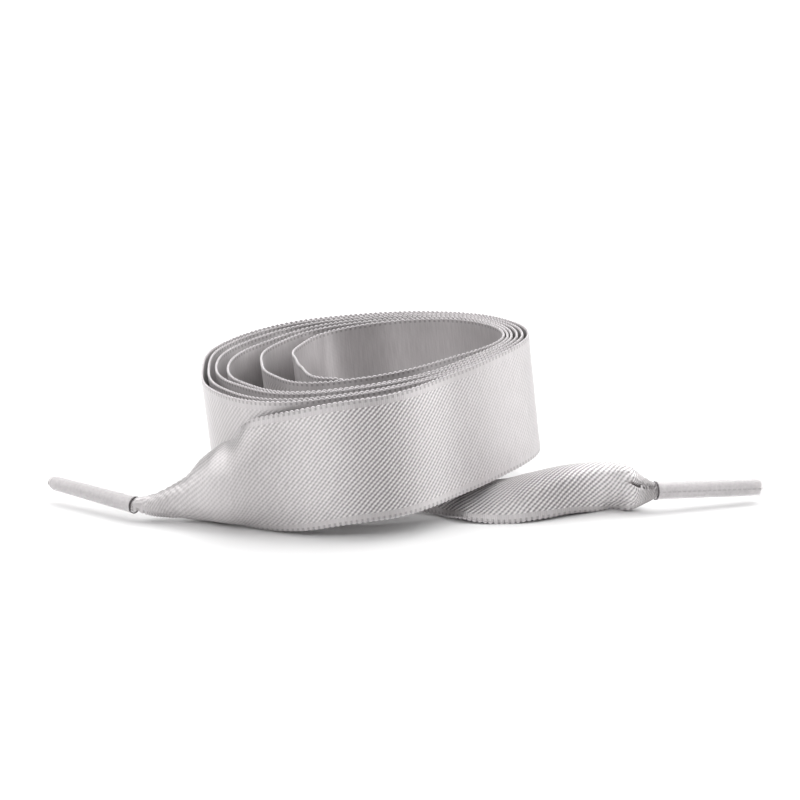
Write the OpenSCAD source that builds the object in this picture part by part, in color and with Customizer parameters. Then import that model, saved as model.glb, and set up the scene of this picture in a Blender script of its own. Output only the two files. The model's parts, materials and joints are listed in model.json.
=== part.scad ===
// A satin ribbon shoelace, loosely wound into a spiral coil that stands on its edge,
// with two free tails that each gather into a slim film-sleeved aglet.
// X runs along the lace from the outer aglet to the inner one, Z is up, and the
// origin is the middle of the whole lace's footprint on the surface it lies on.

/* [Ribbon] */
// Width of the woven ribbon across its two selvedges
ribbon_w = 25; // [20:0.5:25]
// Thickness of the woven cloth
cloth_t = 0.4; // [0.3:0.05:0.4]

/* [Coil] */
// How far the coil leans over, with its right side raised by the tail beneath it
coil_tilt = 6.2; // [6:0.1:7]
// Extra distance by which the outermost turn stands off before it leaves the coil
peel_flare = 3.6; // [2:0.1:4]

/* [Aglets] */
// Outside diameter of the film sleeve
aglet_d = 3.5; // [3:0.1:4]
// Length of the film sleeve
aglet_l = 22.5; // [18:0.5:22.5]
// Wall of the wrapped film
film_t = 0.15; // [0.1:0.05:0.3]

/* [Hidden] */

// The coil's centre in plan, and the lowest point of its rim on the left
coil_centre = [-7, 2.3];
coil_low_x = -38.3;

// Distance from the coil's centre to its outside, every 30 degrees from +X
outline_r = [34.9, 33.3, 31.2, 31.4, 34.2, 33.9, 31.4, 33.2, 35.3, 32.4, 30.9, 30.8];

// The spiral runs inward anticlockwise, and its first stretch is the outline itself
spiral_start = 277;
spiral_left = 540;
spiral_end = 2418;
spiral_step = 10;
// How far each turn lies inside the outline, a row for each turn from the left side
// on, every 45 degrees. The outer turns are snug and the inner ones have sprung open.
turn_insets = [
    [0, 0.3, 0.6, 1, 1.2, 0.9, 1.2, 1.7],
    [1.3, 2.4, 1.7, 2.2, 2.3, 1.8, 2.7, 5],
    [2.8, 6.2, 5, 3.5, 3.4, 2.7, 4.6, 9.2],
    [5.3, 7.4, 6.1, 4.8, 4.2, 3.6, 7, 12.4],
    [12.1, 13.9, 12, 9.3, 5.1, 5, 9.7, 18.2],
    [19.1, 20.2, 13, 10]
];
// The outermost turn stands off the coil over this stretch before the tail
flare_from = 310;
flare_span = 33;

// Clearance between the rolled cloth and the film around it
roll_clear = 0.05;

// Centre of each sleeve's mouth, and a point on each aglet's centreline by its tip
outer_neck = [-52.9, -21.4, 3.1];
outer_tip = [-70.6, -8.2, 3.6];
inner_neck = [49.8, -15.2, 4.1];
inner_tip = [72, -8.9, 2.9];

// Each tail is a row of stations along the ribbon's middle line:
// [x, y, z, heading in plan, turn of its face upwards, curl across the ribbon,
// width round the curl]
outer_tail = [
    [-4.6, -33.1, 16.2, 187, 0, 1, 25], [-12.1, -33.7, 15.2, 183, 0, 8, 25],
    [-19.1, -33.7, 13.6, 179, 0, 30, 25], [-25.1, -33.2, 12.3, 175, 0, 62, 25],
    [-30.1, -32.4, 11.25, 172, 2, 105, 25], [-34.1, -31.5, 9.45, 168, 4, 164, 25],
    [-37.6, -29.9, 8.8, 164, 6, 185, 25], [-41.1, -27.2, 7.4, 160, 7, 226, 25],
    [-44.1, -25.6, 5.3, 156, 7, 295, 23.2], [-47.6, -24.4, 3.9, 152, 6, 310, 17.6],
    [-50.6, -23.6, 3.1, 148, 4, 313, 13]
];
inner_tail = [
    [-11.6, -16.4, 15.3, -18, 0, 1, 25], [-8.1, -16.4, 14.6, -2, 4, 2, 25],
    [-4.1, -13.6, 13.3, 5, 18, 4, 25], [0.4, -9.8, 10.3, 5, 39, 10, 25],
    [4.4, -8.5, 7.6, 3, 60, 26, 25], [7.9, -9.4, 5.4, 0, 76, 42, 25],
    [11.4, -11.4, 4.3, -2, 87, 55, 25], [14.9, -12.7, 4.6, -3, 90, 82, 25],
    [19.9, -14.2, 5.6, -2, 92, 98, 25], [24.9, -15.2, 7.4, 0, 94, 135, 25],
    [30.9, -14.8, 8.8, 2, 95, 184, 25], [35.9, -13.8, 9.2, 4, 94, 205, 25],
    [39.4, -13.3, 9.2, 6, 92, 228, 25], [42.4, -13.4, 9, 8, 90, 265, 23.4],
    [44.9, -13.9, 8.5, 10, 90, 293, 22], [47.6, -14.6, 6.6, 12, 90, 308, 14]
];
section_points = 11;

function wrap(a) = a - 360 * floor(a / 360);
function smooth(t) = t * t * (3 - 2 * t);
function mix(a, b, t) = a + (b - a) * t;

// The smooth curve through b and c at t from 0 to 1, with a before and d after
function curve(a, b, c, d, t) =
    b + 0.5 * t * (c - a + t * (2 * a - 5 * b + 4 * c - d + t * (3 * (b - c) + d - a)));

// A closed ring of evenly spaced values, read smoothly at the angle a
function around(ring, a) =
    let (n = len(ring), f = wrap(a) * n / 360, i = floor(f))
    curve(ring[(i + n - 1) % n], ring[i % n], ring[(i + 1) % n], ring[(i + 2) % n], f - i);

// Inset of the spiral at the running angle a, read smoothly through the turns
insets = [for (turn = turn_insets) each turn];
function inset(a) =
    let (n = len(insets) - 1, f = max(0, a - spiral_left) / 45, i = min(floor(f), n - 1))
    a < spiral_left ? 0
    : curve(insets[max(i - 1, 0)], insets[i], insets[i + 1], insets[min(i + 2, n)], f - i);
function flare(a) = peel_flare * smooth(min(1, max(0, (flare_from - a) / flare_span)));
function spiral_r(a) = around(outline_r, a) - inset(a) + flare(a);
function spiral_point(a, side) = (spiral_r(a) + side * cloth_t / 2) * [cos(a), sin(a)];

// One cross-section of a tail, as an arc of the station's width, from the lower edge
// to the upper one, in a plane that leans with the coil. side moves it to the
// outer or inner face.
function section(st, handed, side) =
    let (level = handed * [sin(st[3]), -cos(st[3]), 0],
         rise = [-sin(coil_tilt), 0, cos(coil_tilt)],
         face = level * cos(st[4]) + rise * sin(st[4]),
         across = rise * cos(st[4]) - level * sin(st[4]),
         r = st[6] * 180 / (PI * st[5]),
         rs = r + side * cloth_t / 2)
    [for (k = [0:section_points - 1])
        let (a = st[5] * (k / (section_points - 1) - 0.5))
        [st[0], st[1], st[2]] + face * (rs * cos(a) - r) + across * rs * sin(a)];

// A tail's solid: outer faces, inner faces, and the two edges and two ends
module ribbon_sweep(row, handed) {
    n = len(row);
    m = section_points;
    rings = [for (st = row)
        concat(section(st, handed, 1),
               [for (k = [m - 1:-1:0]) section(st, handed, -1)[k]])];
    points = [for (ring = rings) each ring];
    size = 2 * m;
    sides = [for (i = [0:n - 2], k = [0:size - 1])
        let (a = i * size + k, b = i * size + (k + 1) % size)
        each k < m ? [[a, b, b + size], [a, b + size, a + size]]
                   : [[a, b, a + size], [b, b + size, a + size]]];
    near_end = [for (k = [0:m - 2])
        let (a = k, b = size - 1 - k)
        each [[a, b, b - 1], [a, b - 1, a + 1]]];
    far_end = [for (f = near_end) [for (v = [2, 1, 0]) f[v] + (n - 1) * size]];
    faces = concat(sides, near_end, far_end);
    polyhedron(points, handed > 0 ? faces : [for (f = faces) [f[2], f[1], f[0]]]);
}

module along_aglet(neck, tip) {
    run = tip - neck;
    yaw = atan2(run[1], run[0]);
    pitch = acos(run[2] / norm(run));
    translate(neck) rotate([0, pitch, yaw]) children();
}

// The cloth of one end, rolled tight along the sleeve
module end_roll(neck, tip) {
    along_aglet(neck, tip)
        cylinder(h = aglet_l, d = aglet_d - 2 * (film_t + roll_clear), $fn = 48);
}

// Clear film wrapped and shrunk round the rolled end
module film_sleeve(neck, tip) {
    along_aglet(neck, tip)
        difference() {
            cylinder(h = aglet_l, d = aglet_d, $fn = 48);
            translate([0, 0, -1])
                cylinder(h = aglet_l + 2, d = aglet_d - 2 * film_t, $fn = 48);
        }
}

// The six wound turns, one continuous wall that stands on its edge
module ribbon_wound_turns() {
    steps = round((spiral_end - spiral_start) / spiral_step);
    turn = [for (k = [0:steps]) mix(spiral_start, spiral_end, k / steps)];
    outside = [for (a = turn) spiral_point(a, 1)];
    inside = [for (k = [steps:-1:0]) spiral_point(turn[k], -1)];
    color("silver")
        translate([coil_low_x, 0, 0]) rotate([0, -coil_tilt, 0])
            translate([(coil_centre[0] - coil_low_x) / cos(coil_tilt), coil_centre[1], 0])
                linear_extrude(ribbon_w) polygon(concat(outside, inside));
}

module ribbon_outer_tail() {
    color("silver") ribbon_sweep(outer_tail, -1);
}

module ribbon_inner_tail() {
    color("silver") ribbon_sweep(inner_tail, 1);
}

module outer_end_roll() {
    color("gainsboro") end_roll(outer_neck, outer_tip);
}

module inner_end_roll() {
    color("gainsboro") end_roll(inner_neck, inner_tip);
}

module outer_aglet_sleeve() {
    color("lightgray") film_sleeve(outer_neck, outer_tip);
}

module inner_aglet_sleeve() {
    color("lightgray") film_sleeve(inner_neck, inner_tip);
}

ribbon_wound_turns();
ribbon_outer_tail();
ribbon_inner_tail();
outer_end_roll();
inner_end_roll();
outer_aglet_sleeve();
inner_aglet_sleeve();
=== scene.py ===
"""Looks of a satin ribbon shoelace: one ribbon wound into a coil that stands on its edge,
with two tails that gather into film-sleeved aglets. Lengths are in metres and angles in
degrees, unless a comment says otherwise."""
import json
import math

import bmesh
import bpy
import numpy as np
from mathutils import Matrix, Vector


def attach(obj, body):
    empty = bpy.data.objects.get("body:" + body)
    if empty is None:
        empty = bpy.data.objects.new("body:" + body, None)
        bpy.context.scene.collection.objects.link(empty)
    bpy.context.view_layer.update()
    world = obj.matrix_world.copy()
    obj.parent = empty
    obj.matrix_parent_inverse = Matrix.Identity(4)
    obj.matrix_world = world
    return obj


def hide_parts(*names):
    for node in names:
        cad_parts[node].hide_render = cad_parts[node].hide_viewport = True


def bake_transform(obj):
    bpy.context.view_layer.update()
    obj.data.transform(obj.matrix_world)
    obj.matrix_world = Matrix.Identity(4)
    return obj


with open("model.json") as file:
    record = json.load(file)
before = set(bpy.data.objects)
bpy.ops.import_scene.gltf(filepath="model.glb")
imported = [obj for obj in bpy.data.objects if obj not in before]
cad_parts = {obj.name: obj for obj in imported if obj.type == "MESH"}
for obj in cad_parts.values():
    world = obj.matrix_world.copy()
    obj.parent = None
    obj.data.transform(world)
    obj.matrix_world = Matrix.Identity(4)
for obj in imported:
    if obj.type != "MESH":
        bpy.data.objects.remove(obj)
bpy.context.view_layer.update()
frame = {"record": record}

MOUNTS = {m["name"]: m for m in frame["record"]["mounts"]}

MM = 0.001
# The middle of the lace, which the soft boxes face
MIDDLE = Vector((0, 0, 0.015))

# The camera's place, its lens in millimetres, and how far it looks down
CAMERA_PLACE = (-0.83 * MM, -568.98 * MM, 179.53 * MM)
CAMERA_LENS = 131.5
CAMERA_DOWN = 15.8

# Ribbon. The cloth stops short of the full width, and fine thread loops make up the rest.
RIBBON_WIDTH = 25 * MM
LOOP_REACH = 0.45 * MM
LOOP_PITCH = 1.07 * MM
LOOP_WIRE = 0.16 * MM
CLOTH = 0.36 * MM
ROLLED_CLOTH = 0.24 * MM
SELVEDGE = 1.5 * MM
FILM = 0.15 * MM
# How the rolled cloth winds inward, each turn this much inside the last
SCROLL_PITCH = 0.342 * MM

# The coil's spiral, as in the part's source. It ends within the last row of insets, whose
# last four values only fill the row up. The tilt is in radians.
COIL_CENTRE = (-7 * MM, 2.3 * MM)
COIL_LOW_X = -38.3 * MM
COIL_TILT = math.radians(6.2)
PEEL_FLARE = 3.6 * MM
OUTLINE = np.array([34.9, 33.3, 31.2, 31.4, 34.2, 33.9, 31.4, 33.2, 35.3, 32.4, 30.9, 30.8]) * MM
TURN_INSETS = np.array([
    [0, 0.3, 0.6, 1, 1.2, 0.9, 1.2, 1.7],
    [1.3, 2.4, 1.7, 2.2, 2.3, 1.8, 2.7, 5],
    [2.8, 6.2, 5, 3.5, 3.4, 2.7, 4.6, 9.2],
    [5.3, 7.4, 6.1, 4.8, 4.2, 3.6, 7, 12.4],
    [12.1, 13.9, 12, 9.3, 5.1, 5, 9.7, 18.2],
    [19.1, 20.2, 13, 10, 10, 10, 10, 10],
]) * MM
INSET_STEP = 45
SPIRAL_START = 277
SPIRAL_LEFT = 540
SPIRAL_END = 2418
FLARE_FROM = 310
FLARE_SPAN = 33

# Stations along each tail's middle line, as in the part's source:
# x, y, z, heading in plan, turn of the face upwards, curl, width round the curl
OUTER_TAIL = [
    (-0.0121, -0.0337, 0.0152, 183, 0, 8, 0.025),
    (-0.0191, -0.0337, 0.0136, 179, 0, 30, 0.025),
    (-0.0251, -0.0332, 0.0123, 175, 0, 62, 0.025),
    (-0.0301, -0.0324, 0.01125, 172, 2, 105, 0.025),
    (-0.0341, -0.0315, 0.00945, 168, 4, 164, 0.025),
    (-0.0376, -0.0299, 0.0088, 164, 6, 185, 0.025),
    (-0.0411, -0.0272, 0.0074, 160, 7, 226, 0.025),
    (-0.0441, -0.0256, 0.0053, 156, 7, 295, 0.0232),
    (-0.0476, -0.0244, 0.0039, 152, 6, 310, 0.0176),
    (-0.0506, -0.0236, 0.0031, 148, 4, 313, 0.013),
]
INNER_TAIL = [
    (-0.0081, -0.0164, 0.0146, -2, 4, 2, 0.025),
    (-0.0041, -0.0136, 0.0133, 5, 18, 4, 0.025),
    (0.0004, -0.0098, 0.0103, 5, 39, 10, 0.025),
    (0.0044, -0.0085, 0.0076, 3, 60, 26, 0.025),
    (0.0079, -0.0094, 0.0054, 0, 76, 42, 0.025),
    (0.0114, -0.0114, 0.0043, -2, 87, 55, 0.025),
    (0.0149, -0.0127, 0.0046, -3, 90, 82, 0.025),
    (0.0199, -0.0142, 0.0056, -2, 92, 98, 0.025),
    (0.0249, -0.0152, 0.0074, 0, 94, 135, 0.025),
    (0.0309, -0.0148, 0.0088, 2, 95, 184, 0.025),
    (0.0359, -0.0138, 0.0092, 4, 94, 205, 0.025),
    (0.0394, -0.0133, 0.0092, 6, 92, 228, 0.025),
    (0.0424, -0.0134, 0.009, 8, 90, 265, 0.0234),
    (0.0449, -0.0139, 0.0085, 10, 90, 293, 0.022),
    (0.0476, -0.0146, 0.0066, 12, 90, 308, 0.014),
]
# Rows of points between one station and the next
FINE = 8
TAIL_COLUMNS = 97
COIL_ROWS = 900
COIL_COLUMNS = 37
# How far round the rolled cloth's outer turn goes inside a sleeve
ROLL_CURL = 315
# How far the rolled cloth is turned so that its free selvedge lies where it is seen
SEAM_TURN = {"outer": 128, "inner": 83}
# Where along the stations, counted from the neck, that turn starts and how far it takes
SEAM_STRETCH = {"outer": (-4, 4.5), "inner": (0.6, 0.6)}
# Where the film's lap lies round each sleeve, in degrees
LAP_AT = {"outer": 211, "inner": 6}
# Each sleeve's radius at its mouth and at its tip, as shares of the design radius
SLEEVE_FIT = {"outer": (0.95, 0.84), "inner": (1.05, 1.0)}

# One unit of a UV map. Cloth is mapped by the distance along the ribbon and across it,
# and film by the distance along the sleeve and from the lap.
UV_UNIT = 10 * MM

# The patterns of the cloth and the film, in millimetres, as the shaders count.
# Two crossed sets of twill lines: how they slant along the ribbon, and their pitch
RISING_SLANT, RISING_PITCH = -0.92, 1.0
FALLING_SLANT, FALLING_PITCH = 0.57, 0.75
THREAD_PITCH = 0.42
# No twill this near to the edge, and painted shade in the gaps between the loops nearer than that
TWILL_MARGIN = 1.9
GAP_STRIP = 1.0
# Broad bands of painted sheen, light and dark, in the colour along the ribbon, matched to the
# photograph because the lights alone don't give them
PAINTED_SHEEN_LENGTH = 25
PAINTED_SHEEN_SHIFT = -4.7
# From here to its end the ribbon is the inner tail, which shows its twill and its painted sheen bands
# in full
INNER_TAIL_FROM = 1045
# The dashed line along the film's lap, and the dark rim at its mouth, its cut edge together with
# painted shadow where the film stands off the cloth
LAP_LINE = 0.13
DASH_PITCH = 1.07
MOUTH_RIM = 0.28

SATIN_DARK = (0.26, 0.242, 0.246, 1)
SATIN_LIGHT = (0.86, 0.83, 0.835, 1)
# Dark of the lap's dashes and of the mouth's cut edge, and painted shade between the edge loops and
# round the sleeve's mouth
EDGE_DARK_AND_PAINTED_SHADE = (0.07, 0.06, 0.065, 1)
THREAD_DARK = (0.55, 0.52, 0.53, 1)
THREAD_LIGHT = (0.86, 0.83, 0.84, 1)
FILM_DARK = (0.62, 0.60, 0.605, 1)
FILM_LIGHT = (0.95, 0.92, 0.93, 1)
FLOOR_DARK = (0.92, 0.92, 0.92, 1)
FLOOR_LIGHT = (0.93, 0.93, 0.93, 1)

# How far the floor reaches each way, and the room's own light
FLOOR_REACH = 3.0
ROOM_LIGHT = 0.3
# Each soft box: name, azimuth, elevation, width, height and radiance
SOFT_BOXES = [
    ("top_box", 90, 70, 1.0, 1.0, 2.2),
    ("back_box", 90, 42, 1.2, 0.5, 3.0),
    ("right_box", 28, 35, 0.8, 0.7, 4.0),
    ("left_box", 168, 35, 0.9, 0.7, 2.4),
    ("right_strip", 343, 35, 0.2, 0.8, 6.4),
    ("front_left_box", 256, 38, 0.35, 0.6, 3.4),
    ("left_front_box", 212, 35, 0.5, 0.6, 1.9),
]


# ---------------------------------------------------------------- camera

def make_camera():
    """The camera, level across and looking a little down on the coil's front."""
    data = bpy.data.cameras.new("camera")
    data.sensor_width = 36
    data.lens = CAMERA_LENS
    data.clip_start = 0.01
    data.clip_end = 20
    camera = bpy.data.objects.new("camera", data)
    camera.location = CAMERA_PLACE
    camera.rotation_euler = (math.radians(90 - CAMERA_DOWN), 0, 0)
    bpy.context.scene.collection.objects.link(camera)
    bpy.context.scene.camera = camera


# ---------------------------------------------------------------- the ribbon's shape

def smooth(t):
    t = np.clip(t, 0, 1)
    return t * t * (3 - 2 * t)


def bell(distance, spread):
    return np.exp(-((distance / spread) ** 2))


def through(a, b, c, d, t):
    """The smooth curve through b and c at t from 0 to 1, with a before and d after."""
    return b + 0.5 * t * (c - a + t * (2 * a - 5 * b + 4 * c - d + t * (3 * (b - c) + d - a)))


def around(ring, angle):
    """A closed ring of evenly spaced values, read smoothly at an angle."""
    count = len(ring)
    place = np.mod(angle, 360) * count / 360
    first = np.floor(place).astype(int)
    near = [ring[(first + k) % count] for k in (-1, 0, 1, 2)]
    return through(*near, place - first)


def along(stations, place):
    """Rows of values read smoothly at fractional places in the list."""
    last = len(stations) - 1
    first = np.clip(np.floor(place).astype(int), 0, last - 1)
    near = [stations[np.clip(first + k, 0, last)] for k in (-1, 0, 1, 2)]
    return through(*near, (place - first)[:, None])


def spiral_radius(angle):
    place = np.maximum(angle - SPIRAL_LEFT, 0) / INSET_STEP
    inset = along(TURN_INSETS.reshape(-1, 1), place)[:, 0]
    stand_off = PEEL_FLARE * smooth((FLARE_FROM - angle) / FLARE_SPAN)
    return around(OUTLINE, angle) - inset + stand_off


def coil_points(angle, height):
    """Points of the leaning coil's middle surface, a row for each angle."""
    turn = np.radians(angle)[:, None]
    radius = spiral_radius(angle)[:, None]
    cos_tilt = math.cos(COIL_TILT)
    sin_tilt = math.sin(COIL_TILT)
    run = (COIL_CENTRE[0] - COIL_LOW_X) / cos_tilt + radius * np.cos(turn)
    x = COIL_LOW_X + run * cos_tilt - height * sin_tilt
    y = COIL_CENTRE[1] + radius * np.sin(turn) + 0 * height
    z = run * sin_tilt + height * cos_tilt
    return np.stack([x, y, z], -1)


def coil_station(angle, handed):
    """The coil's ribbon at one angle, written as a tail's station."""
    here, ahead = coil_points(np.array([angle, angle + handed * 0.5]), RIBBON_WIDTH / 2)[:, 0]
    heading = math.degrees(math.atan2(ahead[1] - here[1], ahead[0] - here[0]))
    return (*here, heading % 360 if handed < 0 else heading, 0, 0.5, RIBBON_WIDTH)


def roll_stations(mount, fit, heading, turn, steps=8):
    """Stations along the rolled cloth inside one film sleeve."""
    axis = np.array(mount["axis"])
    middle = np.array(mount["pos_m"])
    half = mount["dims"]["length_mm"] * MM / 2
    face = face_and_across(np.array([heading]), np.array([turn]), np.zeros(1))[0][0]
    rows = []
    for share in np.linspace(0, 1, steps):
        outside = mount["dims"]["r_mm"] * MM * np.interp(share, (0, 1), fit)
        radius = outside - FILM - ROLLED_CLOTH / 2 - 0.03 * MM
        place = -half + 0.3 * MM + share * (2 * half - 0.45 * MM)
        front = middle + axis * place + face * radius
        rows.append((*front, heading, turn, ROLL_CURL, radius * math.radians(ROLL_CURL)))
    return rows


def face_and_across(heading, turn, lean):
    """Unit vectors out of the ribbon's face and across it, for angles in degrees."""
    h, t, b = np.radians(heading), np.radians(turn), np.radians(lean)
    flip = np.where(np.cos(h) < 0, -1, 1)[:, None]
    level = np.stack([np.sin(h), -np.cos(h), 0 * h], -1) * flip
    rise = np.stack([-np.sin(b), 0 * b, np.cos(b)], -1)
    face = level * np.cos(t)[:, None] + rise * np.sin(t)[:, None]
    across = rise * np.cos(t)[:, None] - level * np.sin(t)[:, None]
    return face, across


def tail_surface(rows, reach, lean, seam_turn, crease, pitch):
    """Points of a tail's middle surface. Each row is an arc of the station's width that
    goes on inwards as a scroll, so the cloth always has its full width."""
    x, y, z, heading, turn, curl, width = rows.T
    radius = width / np.radians(curl)
    room = np.minimum(pitch, 0.98 * radius**2 * math.pi / RIBBON_WIDTH)
    rho = np.sqrt(np.maximum(radius[:, None] ** 2 - room[:, None] * reach / math.pi, 1e-9))
    bend = 1 / rho + crease
    step = np.diff(reach)
    start = np.zeros((len(rows), 1))
    psi = np.concatenate([start, np.cumsum((bend[:, 1:] + bend[:, :-1]) / 2 * step, 1)], 1)
    psi -= np.array([np.interp(w / 2, reach, p) for w, p in zip(width, psi)])[:, None]
    slopes = np.stack([-np.sin(psi), np.cos(psi)], -1)
    runs = np.cumsum((slopes[:, 1:] + slopes[:, :-1]) / 2 * step[:, None], 1)
    flat = np.concatenate([np.zeros((len(rows), 1, 2)), runs], 1)
    for k in range(2):
        middle = [np.interp(w / 2, reach, f) for w, f in zip(width, flat[:, :, k])]
        flat[:, :, k] -= np.array(middle)[:, None]
    face, _ = face_and_across(heading, turn, lean)
    centre = np.stack([x, y, z], -1) - face * radius[:, None]
    face, across = face_and_across(heading, turn + seam_turn, lean)
    front = centre + face * radius[:, None]
    return front[:, None] + face[:, None] * flat[:, :, :1] + across[:, None] * flat[:, :, 1:]


def arc_lengths(points):
    steps = np.linalg.norm(np.diff(points, axis=0), axis=1)
    return np.concatenate([[0], np.cumsum(steps)])


def surface_normals(points):
    """Unit normals of a grid of points, from its own slopes."""
    normal = np.cross(np.gradient(points, axis=0), np.gradient(points, axis=1))
    return normal / np.linalg.norm(normal, axis=-1, keepdims=True)


# ---------------------------------------------------------------- meshes

def new_mesh(name, points, faces, uv=None):
    """A smooth-shaded mesh with its faces turned outwards. uv is a pair for each point."""
    mesh = bpy.data.meshes.new(name)
    mesh.from_pydata([tuple(p) for p in points], [], [tuple(f) for f in faces])
    if uv is not None:
        corners = np.zeros(len(mesh.loops), np.int32)
        mesh.loops.foreach_get("vertex_index", corners)
        layer = mesh.uv_layers.new(name="weave")
        layer.data.foreach_set("uv", uv[corners].astype(np.float32).ravel())
    work = bmesh.new()
    work.from_mesh(mesh)
    bmesh.ops.recalc_face_normals(work, faces=work.faces)
    work.to_mesh(mesh)
    work.free()
    mesh.polygons.foreach_set("use_smooth", np.ones(len(mesh.polygons), bool))
    mesh.set_sharp_from_angle(angle=math.radians(55))
    obj = bpy.data.objects.new(name, mesh)
    bpy.context.scene.collection.objects.link(obj)
    return obj


def grid_faces(rows, cols, start=0, wrap=False):
    """Quads over a grid of points numbered row by row. wrap closes each row on itself."""
    i, j = np.meshgrid(np.arange(rows - 1), np.arange(cols if wrap else cols - 1), indexing="ij")
    after = (j + 1) % cols
    quads = [i * cols + j, i * cols + after, (i + 1) * cols + after, (i + 1) * cols + j]
    return np.stack([q.ravel() for q in quads], -1) + start


def cloth(name, points, normals, thick, run, reach):
    """A closed sheet of woven cloth, with a selvedge a little thicker than the rest.
    run is the distance along the whole ribbon, for the weave."""
    rows, cols = points.shape[:2]
    edge = np.minimum(reach - reach[0], reach[-1] - reach)
    band = 1 + 0.3 * (1 - smooth((edge - SELVEDGE) / (0.4 * MM)))
    half = normals * (thick[:, None] * band)[..., None] / 2
    skin = np.concatenate([(points + half).reshape(-1, 3), (points - half).reshape(-1, 3)])
    count = rows * cols
    ring = np.concatenate([
        np.arange(cols),
        np.arange(1, rows) * cols + cols - 1,
        (rows - 1) * cols + np.arange(cols - 2, -1, -1),
        np.arange(rows - 2, 0, -1) * cols,
    ])
    rim = np.stack([ring, np.roll(ring, -1), np.roll(ring, -1) + count, ring + count], -1)
    faces = np.concatenate([grid_faces(rows, cols), grid_faces(rows, cols, count), rim])
    uv = np.stack(np.broadcast_arrays(run[:, None], reach[None]), -1).reshape(-1, 2) / UV_UNIT
    obj = new_mesh(name, skin, faces, np.concatenate([uv, uv]))
    one_side = (rows - 1) * (cols - 1)
    back = np.zeros(len(faces), np.int32)
    back[one_side:2 * one_side] = 1
    for _ in ("face", "back"):
        obj.data.materials.append(None)
    obj.data.polygons.foreach_set("material_index", back)
    return obj


def edge_loops(name, points, normals, lengths, begin, end, sides=6, rings=7):
    """The fine thread loops that stand out along both selvedges, where the ribbon's
    length is between begin and end."""
    steps = np.linspace(0, math.pi, rings)
    around_wire = np.linspace(0, 2 * math.pi, sides, endpoint=False)
    first = math.ceil(begin / LOOP_PITCH - 0.5)
    last = math.ceil(end / LOOP_PITCH - 0.5)
    places = (np.arange(first, last) + 0.5) * LOOP_PITCH
    verts = []
    for line, inner in ((0, 2), (-1, -3)):
        outward = points[:, line] - points[:, inner]
        outward /= np.linalg.norm(outward, axis=-1, keepdims=True)
        # each loop leaves the cloth, stands out and comes back a little further on
        at = places[:, None] - LOOP_PITCH * 0.33 * np.cos(steps)
        read = [[np.interp(at, lengths, grid[:, k]) for k in range(3)]
                for grid in (points[:, line], outward, normals[:, line])]
        base, out, up = (np.stack(values, -1) for values in read)
        stand = (LOOP_REACH - LOOP_WIRE) * np.sin(steps) - 0.1 * MM
        middle = base + out * stand[None, :, None]
        run = np.gradient(middle, axis=1)
        run /= np.linalg.norm(run, axis=-1, keepdims=True)
        flat = np.cross(run, up)
        ring = (flat[:, :, None] * np.cos(around_wire)[:, None]
                + up[:, :, None] * np.sin(around_wire)[:, None])
        verts.append((middle[:, :, None] + ring * LOOP_WIRE).reshape(-1, 3))
    verts = np.concatenate(verts)
    total = len(verts) // (rings * sides)
    one = grid_faces(rings, sides, wrap=True)
    ends = np.arange(sides) + np.array([[0], [(rings - 1) * sides]])
    faces = [tuple(f + k * rings * sides) for k in range(total) for f in (*one, *ends)]
    return new_mesh(name, verts, faces)


# ---------------------------------------------------------------- the pieces

def coil_pieces():
    """The wound turns and their edge loops, on the coil's body."""
    angle = np.linspace(SPIRAL_START, SPIRAL_END, COIL_ROWS)
    reach = np.linspace(LOOP_REACH, RIBBON_WIDTH - LOOP_REACH, COIL_COLUMNS)
    points = coil_points(angle, reach[None])
    normals = surface_normals(points)
    lengths = arc_lengths(points[:, len(reach) // 2])
    thick = np.full(len(angle), CLOTH)
    wound = cloth("ribbon_wound_turns_cloth", points, normals, thick, lengths, reach)
    loops = edge_loops("ribbon_wound_turns_loops", points, normals, lengths, 0, lengths[-1])
    for piece in (wound, loops):
        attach(piece, "coil")
    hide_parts("ribbon_wound_turns")
    return wound, loops, lengths[-1]


def tail_table(side, stations, angle, handed):
    """Stations from inside the coil to the aglet's tip, and the last one's number
    before the sleeve."""
    mount = MOUNTS[f"{side}_aglet_pin"]
    heading = math.degrees(math.atan2(mount["axis"][1], mount["axis"][0]))
    start = [coil_station(angle - 6 * handed, handed), coil_station(angle, handed)]
    roll = roll_stations(mount, SLEEVE_FIT[side], heading, stations[-1][4])
    return np.array([*start, *stations, *roll]), len(start) + len(stations) - 1


def outer_form(rows, from_neck, reach):
    """The outer tail has no crease. Under the neck its scroll stands open, with the cloth
    inside it pulled away from the free edge."""
    loose = smooth((from_neck + 3) / 1.5) * (1 - smooth(from_neck / 0.9))
    full_turn = rows[:, 6] * 360 / rows[:, 5]
    under_edge = smooth((reach[None] - full_turn[:, None] + 3.2 * MM) / (0.9 * MM))
    tuck = np.interp(from_neck, (-3, -1.5, 0.3, 1), (0, 1.8 * MM, 1.2 * MM, 0))
    return np.zeros(under_edge.shape), SCROLL_PITCH * (1 + 2.6 * loose), under_edge * tuck[:, None]


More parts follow.
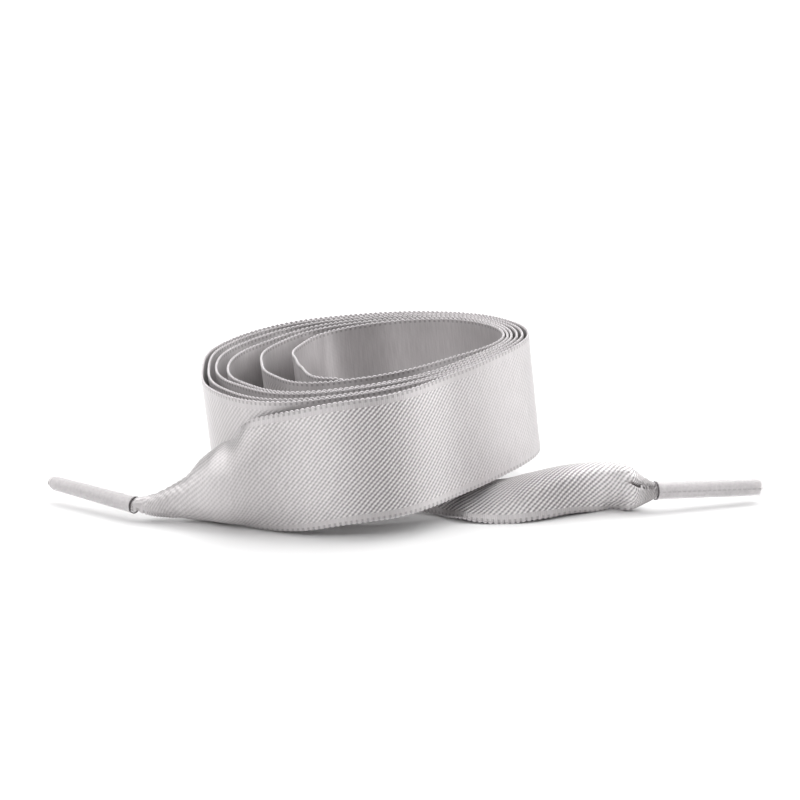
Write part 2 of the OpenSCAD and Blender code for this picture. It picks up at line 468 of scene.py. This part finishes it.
def inner_form(rows, from_neck, reach):
    """The inner tail has a soft ridge from its near edge at the coil to its middle at
    the neck, and a pleat that runs into the sleeve's front."""
    x = rows[:, 0]
    where = 3 * MM + (x - 18 * MM) * 0.33
    strength = 0.9 * smooth((x - 14 * MM) / (6 * MM)) * (1 - smooth((x - 40 * MM) / (5 * MM)))
    spread = 0.9 * MM
    ridge = bell(reach[None] - where[:, None], spread) * strength[:, None]
    crease = ridge / (spread * math.sqrt(math.pi)) * 0.6
    full_turn = rows[:, 6] * 360 / rows[:, 5]
    line = np.interp(from_neck, (-1.5, -1, 0, 1), (7 * MM, 6.6 * MM, 4.4 * MM, 2.4 * MM))
    depth = np.interp(from_neck, (-1.8, -1, 0, 1), (0, 1.7 * MM, 1.1 * MM, 0.15 * MM))
    pleat = [bell(reach[None] - (line + k * full_turn)[:, None], 0.42 * MM) for k in (0, 1)]
    return crease, SCROLL_PITCH + 0 * x, sum(pleat) * depth[:, None]


def tail_pieces(side, stations, angle, handed, form, run_from):
    """The cloth and edge loops of one tail, its neck and its rolled end."""
    table, neck = tail_table(side, stations, angle, handed)
    place = np.arange(FINE - 2, (len(table) - 1) * FINE + 1) / FINE
    rows = along(table, place)
    from_neck = place - neck
    lean = math.degrees(COIL_TILT) * (1 - smooth((from_neck + 6) / 7))
    start, span = SEAM_STRETCH[side]
    seam_turn = SEAM_TURN[side] * smooth((from_neck - start) / span)
    reach = np.linspace(LOOP_REACH, RIBBON_WIDTH - LOOP_REACH, TAIL_COLUMNS)
    crease, pitch, tuck = form(rows, from_neck, reach)
    points = tail_surface(rows, reach, lean, seam_turn, crease, pitch)
    normals = surface_normals(points) * handed
    gather = smooth((from_neck + 5) / 5)
    ripple = np.sin(reach / (1.5 * MM) * 2 * math.pi) * (gather * (1 - smooth(from_neck)))[:, None]
    points = points + normals * (0.08 * MM * ripple - tuck)[..., None]
    normals = surface_normals(points) * handed
    thick = CLOTH + (ROLLED_CLOTH - CLOTH) * gather
    lengths = arc_lengths(points[:, len(reach) // 2])
    lengths -= lengths[2]
    run = run_from + handed * lengths
    phase = run_from % LOOP_PITCH
    cuts = [2, int((neck - 1 - place[0]) * FINE), int((neck + 1 - place[0]) * FINE), len(place) - 1]
    made = {}
    for first, last, name in zip(cuts, cuts[1:], ("tail", "neck", "roll")):
        part = slice(first, last + 1)
        sheet = cloth(f"ribbon_{side}_{name}_cloth", points[part], normals[part], thick[part],
                      run[part], reach)
        loops = edge_loops(f"ribbon_{side}_{name}_loops", points, normals, lengths + phase,
                           lengths[first] + phase, lengths[last] + phase)
        made[name] = (sheet, loops)
    return made, lengths[cuts[1]], lengths[cuts[3]]


def film_sleeve(side, closed_tip):
    """Clear film wrapped round the rolled end, with a lap where its edge lies."""
    mount = MOUNTS[f"{side}_aglet_pin"]
    axis = Vector(mount["axis"]).normalized()
    length = mount["dims"]["length_mm"] * MM
    radius = mount["dims"]["r_mm"] * MM
    across = axis.cross(Vector((0, 0, 1))).normalized()
    up = across.cross(axis)
    mouth = np.array(Vector(mount["pos_m"]) - axis * length / 2)
    count = 64
    place = np.linspace(0, length, 90)
    angle = np.linspace(0, 2 * math.pi, count, endpoint=False)
    from_lap = np.abs(np.mod(angle - math.radians(LAP_AT[side]) + math.pi, 2 * math.pi) - math.pi)
    lap = 0.05 * MM * bell(from_lap, 0.22)
    wave = 0.02 * MM * np.sin(3 * angle[None] + place[:, None] / (3.1 * MM))
    lip = 0.06 * MM * bell(place, 0.5 * MM)
    fit = np.interp(place, (0, length), SLEEVE_FIT[side])
    outer = radius * fit[:, None] + lap[None] + wave + lip[:, None]
    if closed_tip:
        left = np.clip((length - place) / (1.6 * MM), 0, 1)
        outer = outer * np.sqrt(1 - 0.8 * (1 - left[:, None]) ** 2)
    radii = np.concatenate([outer, (outer - FILM)[::-1]])
    places = np.concatenate([place, place[::-1]])
    ring = (np.array(across) * (radii * np.cos(angle))[..., None]
            + np.array(up) * (radii * np.sin(angle))[..., None])
    grid = mouth + np.array(axis) * places[:, None, None] + ring
    first = np.arange(count)
    last = first + (len(grid) - 1) * count
    closing = np.stack([first, np.roll(first, -1), np.roll(last, -1), last], -1)
    faces = np.concatenate([grid_faces(len(grid), count, wrap=True), closing])
    uv = np.stack(np.broadcast_arrays(places[:, None], (from_lap * radius)[None]), -1)
    obj = new_mesh(f"{side}_aglet_film", grid.reshape(-1, 3), faces, uv.reshape(-1, 2) / UV_UNIT)
    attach(obj, f"{side}_aglet")
    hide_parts(f"{side}_aglet_sleeve")
    return obj


# ---------------------------------------------------------------- materials

class Nodes:
    """A short way to write a material's node tree."""

    def __init__(self, name):
        self.material = bpy.data.materials.new(name)
        self.material.use_nodes = True
        self.tree = self.material.node_tree
        self.shader = self.tree.nodes["Principled BSDF"]

    def add(self, kind, **settings):
        node = self.tree.nodes.new(kind)
        for key, value in settings.items():
            setattr(node, key, value)
        return node

    def link(self, source, target):
        self.tree.links.new(source, target)

    def feed(self, sockets, values):
        for socket, value in zip(sockets, values):
            if isinstance(value, (int, float, tuple)):
                socket.default_value = value
            else:
                self.link(value, socket)

    def math(self, operation, *values):
        node = self.add("ShaderNodeMath", operation=operation)
        self.feed(node.inputs, values)
        return node.outputs[0]

    def mix(self, amount, a, b):
        node = self.add("ShaderNodeMix", data_type="RGBA")
        self.feed((node.inputs[0], node.inputs[6], node.inputs[7]), (amount, a, b))
        return node.outputs[2]

    def sine(self, distance, period):
        """A sine wave along a distance, both in millimetres."""
        return self.math("SINE", self.math("MULTIPLY", distance, 2 * math.pi / period))

    def noise(self, vector, scale, detail=2):
        node = self.add("ShaderNodeTexNoise")
        node.inputs["Scale"].default_value = scale
        node.inputs["Detail"].default_value = detail
        self.link(vector, node.inputs["Vector"])
        return node.outputs[0]

    def uv_distances(self):
        """The UV map, and its two distances in millimetres."""
        uv = self.add("ShaderNodeUVMap", uv_map="weave").outputs[0]
        split = self.add("ShaderNodeSeparateXYZ")
        self.link(uv, split.inputs[0])
        return uv, *(self.math("MULTIPLY", split.outputs[k], UV_UNIT / MM) for k in (0, 1))

    def object_place(self):
        return self.add("ShaderNodeTexCoord").outputs["Object"]

    def bump(self, height, strength, distance):
        node = self.add("ShaderNodeBump")
        node.inputs["Strength"].default_value = strength
        node.inputs["Distance"].default_value = distance
        self.link(height, node.inputs["Height"])
        self.link(node.outputs[0], self.shader.inputs["Normal"])

    def set(self, **values):
        for key, value in values.items():
            self.shader.inputs[key.replace("_", " ")].default_value = value


def satin(name, twill_shade, twill_relief):
    """Silver-grey satin: crossed twill lines, a plain selvedge with painted shade in small gaps
    between the edge loops, painted sheen bands in the colour along the ribbon, and a sheen that runs
    straight across the ribbon."""
    nodes = Nodes(name)
    uv, length, across = nodes.uv_distances()
    half_width = RIBBON_WIDTH / MM / 2
    from_middle = nodes.math("ABSOLUTE", nodes.math("SUBTRACT", across, half_width))
    from_edge = nodes.math("SUBTRACT", half_width, from_middle)
    uneven = nodes.math("MULTIPLY_ADD", nodes.noise(uv, 3), 0.4, across)
    rising = nodes.sine(nodes.math("MULTIPLY_ADD", length, RISING_SLANT, uneven), RISING_PITCH)
    falling = nodes.sine(nodes.math("MULTIPLY_ADD", length, FALLING_SLANT, uneven), FALLING_PITCH)
    twill = nodes.math("MULTIPLY_ADD", falling, 0.3, rising)
    inside = nodes.math("GREATER_THAN", from_edge, TWILL_MARGIN)
    woven = nodes.math("MULTIPLY", twill, inside)
    weave = nodes.math("MULTIPLY_ADD", nodes.sine(length, THREAD_PITCH), 0.3, woven)
    stretch = nodes.add("ShaderNodeMapping")
    stretch.inputs["Scale"].default_value = (9, 0.6, 1)
    nodes.link(uv, stretch.inputs["Vector"])
    streaks = nodes.math("SUBTRACT", nodes.noise(stretch.outputs[0], 4, 4), 0.5)
    # the colour's painted sheen bands and the twill, whose stronger contrast there is partly painted
    # glint, are strongest where the outer tail leaves the coil
    from_start = nodes.math("ABSOLUTE", length)
    near = nodes.math("MAXIMUM", nodes.math("MULTIPLY_ADD", from_start, -0.022, 1.0), 0.3)
    near = nodes.math("MAXIMUM", near, nodes.math("GREATER_THAN", length, INNER_TAIL_FROM))
    # painted sheen: broad light and dark bands in the colour along the ribbon
    band = nodes.sine(nodes.math("ADD", length, PAINTED_SHEEN_SHIFT), PAINTED_SHEEN_LENGTH)
    band = nodes.math("MULTIPLY", band, near)
    # the twill's tone is a real weave pattern, and its raised contrast near the coil is partly painted
    # glint
    tone = nodes.math("MULTIPLY", nodes.math("MULTIPLY", woven, twill_shade), near)
    tone = nodes.math("MULTIPLY_ADD", band, 0.17, nodes.math("ADD", tone, 0.52))
    tone = nodes.math("MULTIPLY_ADD", streaks, 0.4, tone)
    colour = nodes.mix(tone, SATIN_DARK, SATIN_LIGHT)
    # painted shade in the gaps between the edge loops, along each selvedge
    beside = nodes.math("LESS_THAN", from_edge, GAP_STRIP)
    ripple = nodes.math("COSINE", nodes.math("MULTIPLY", length, 2 * math.pi / (LOOP_PITCH / MM)))
    between = nodes.math("MAXIMUM", nodes.math("MULTIPLY_ADD", ripple, 0.3, 0.12), 0.0)
    colour = nodes.mix(nodes.math("MULTIPLY", beside, between), colour, EDGE_DARK_AND_PAINTED_SHADE)
    nodes.link(colour, nodes.shader.inputs["Base Color"])
    nodes.bump(nodes.math("MULTIPLY", weave, near), twill_relief, 0.05 * MM)
    tangent = nodes.add("ShaderNodeTangent", direction_type="UV_MAP", uv_map="weave")
    nodes.link(tangent.outputs[0], nodes.shader.inputs["Tangent"])
    nodes.set(Metallic=0.6, Roughness=0.42, Anisotropic=0.85, Anisotropic_Rotation=0.25)
    nodes.set(Sheen_Weight=0.1, Sheen_Roughness=0.4, Specular_IOR_Level=0.6)
    return nodes.material


def loop_thread():
    """The bright twisted thread of the edge loops."""
    nodes = Nodes("loop_thread")
    colour = nodes.mix(nodes.noise(nodes.object_place(), 900), THREAD_DARK, THREAD_LIGHT)
    nodes.link(colour, nodes.shader.inputs["Base Color"])
    nodes.set(Roughness=0.45, Sheen_Weight=0.2)
    return nodes.material


def clear_film():
    """Thin film that lets the rolled cloth show through, dark in dashes along its lap, and
    dark at the mouth with its cut edge and painted shadow where it stands off the cloth."""
    nodes = Nodes("aglet_film")
    _, place, from_lap = nodes.uv_distances()
    speckle = nodes.noise(nodes.object_place(), 1500, 3)
    at_lap = nodes.math("LESS_THAN", from_lap, LAP_LINE)
    dashes = nodes.math("ADD", nodes.sine(place, DASH_PITCH), speckle)
    dash = nodes.math("GREATER_THAN", dashes, 0.2)
    line = nodes.math("MULTIPLY", nodes.math("MULTIPLY", at_lap, dash), 0.55)
    # the dark mouth rim: the film's cut edge together with painted shadow where it stands off the cloth
    line = nodes.math("MAXIMUM", line, nodes.math("LESS_THAN", place, MOUTH_RIM))
    colour = nodes.mix(speckle, FILM_DARK, FILM_LIGHT)
    colour = nodes.mix(line, colour, EDGE_DARK_AND_PAINTED_SHADE)
    nodes.link(colour, nodes.shader.inputs["Base Color"])
    nodes.link(nodes.math("MULTIPLY_ADD", line, 0.5, 0.4), nodes.shader.inputs["Alpha"])
    nodes.bump(speckle, 0.3, 0.05 * MM)
    nodes.set(Roughness=0.3, Specular_IOR_Level=0.4)
    return nodes.material


def paper_floor():
    """A plain pale surface."""
    nodes = Nodes("floor")
    colour = nodes.mix(nodes.noise(nodes.object_place(), 60), FLOOR_DARK, FLOOR_LIGHT)
    nodes.link(colour, nodes.shader.inputs["Base Color"])
    nodes.set(Roughness=0.9, Specular_IOR_Level=0.1)
    return nodes.material


def paint(obj, *materials):
    """Give an object its material, or a cloth its face's and its back's."""
    places = np.zeros(len(obj.data.polygons), np.int32)
    obj.data.polygons.foreach_get("material_index", places)
    obj.data.materials.clear()
    for material in materials:
        obj.data.materials.append(material)
    obj.data.polygons.foreach_set("material_index", places)


# ---------------------------------------------------------------- surroundings

def soft_light(name, azimuth, elevation, width, height, radiance, distance=1.2):
    """A soft box that faces the lace. Azimuth runs anticlockwise from +X."""
    data = bpy.data.lights.new(name, "AREA")
    data.shape = "RECTANGLE"
    data.size = width
    data.size_y = height
    data.energy = radiance * math.pi * width * height
    turn, rise = math.radians(azimuth), math.radians(elevation)
    towards = Vector((math.cos(turn) * math.cos(rise), math.sin(turn) * math.cos(rise), math.sin(rise)))
    obj = bpy.data.objects.new(name, data)
    obj.location = MIDDLE + towards * distance
    obj.rotation_mode = "QUATERNION"
    obj.rotation_quaternion = towards.to_track_quat("Z", "Y")
    bpy.context.scene.collection.objects.link(obj)


def surroundings():
    """A pale floor, and a studio with soft boxes round the lace."""
    far = FLOOR_REACH
    points = [(-far, -far, 0), (far, -far, 0), (far, far, 0), (-far, far, 0)]
    floor = new_mesh("floor", points, [(0, 1, 2, 3)])
    paint(floor, paper_floor())
    world = bpy.data.worlds.new("soft_room")
    world.use_nodes = True
    background = world.node_tree.nodes["Background"]
    background.inputs["Color"].default_value = (1, 1, 1, 1)
    background.inputs["Strength"].default_value = ROOM_LIGHT
    bpy.context.scene.world = world
    bpy.context.scene.view_settings.view_transform = "Standard"
    for box in SOFT_BOXES:
        soft_light(*box)


# ---------------------------------------------------------------- putting it together

def finish_tail(side, handed, made, length, whole, cloths, thread):
    """The roll's body, and the materials of one tail's pieces."""
    for piece in made["tail"]:
        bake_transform(piece)
    for piece in made["neck"]:
        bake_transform(piece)
    for piece in made["roll"]:
        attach(piece, f"{side}_aglet")
    for name, (sheet, loops) in made.items():
        for piece, materials in ((sheet, cloths), (loops, (thread,))):
            paint(piece, *materials)
    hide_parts(f"ribbon_{side}_tail")
    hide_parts(f"{side}_end_roll")
    print(f"{side} tail with its roll {whole / MM:.1f} mm")


def main():
    make_camera()
    cloths = satin("satin_face", 0.42, 1.0), satin("satin_back", 0.02, 0.1)
    thread = loop_thread()
    film = clear_film()
    wound, wound_loops, wound_length = coil_pieces()
    print(f"wound turns {wound_length / MM:.1f} mm")
    paint(wound, *cloths)
    paint(wound_loops, thread)
    outer = tail_pieces("outer", OUTER_TAIL, SPIRAL_START, -1, outer_form, 0)
    inner = tail_pieces("inner", INNER_TAIL, SPIRAL_END, 1, inner_form, wound_length)
    for side in ("outer", "inner"):
        paint(film_sleeve(side, closed_tip=side == "outer"), film)
    finish_tail("outer", -1, *outer, cloths, thread)
    finish_tail("inner", 1, *inner, cloths, thread)
    surroundings()


main()
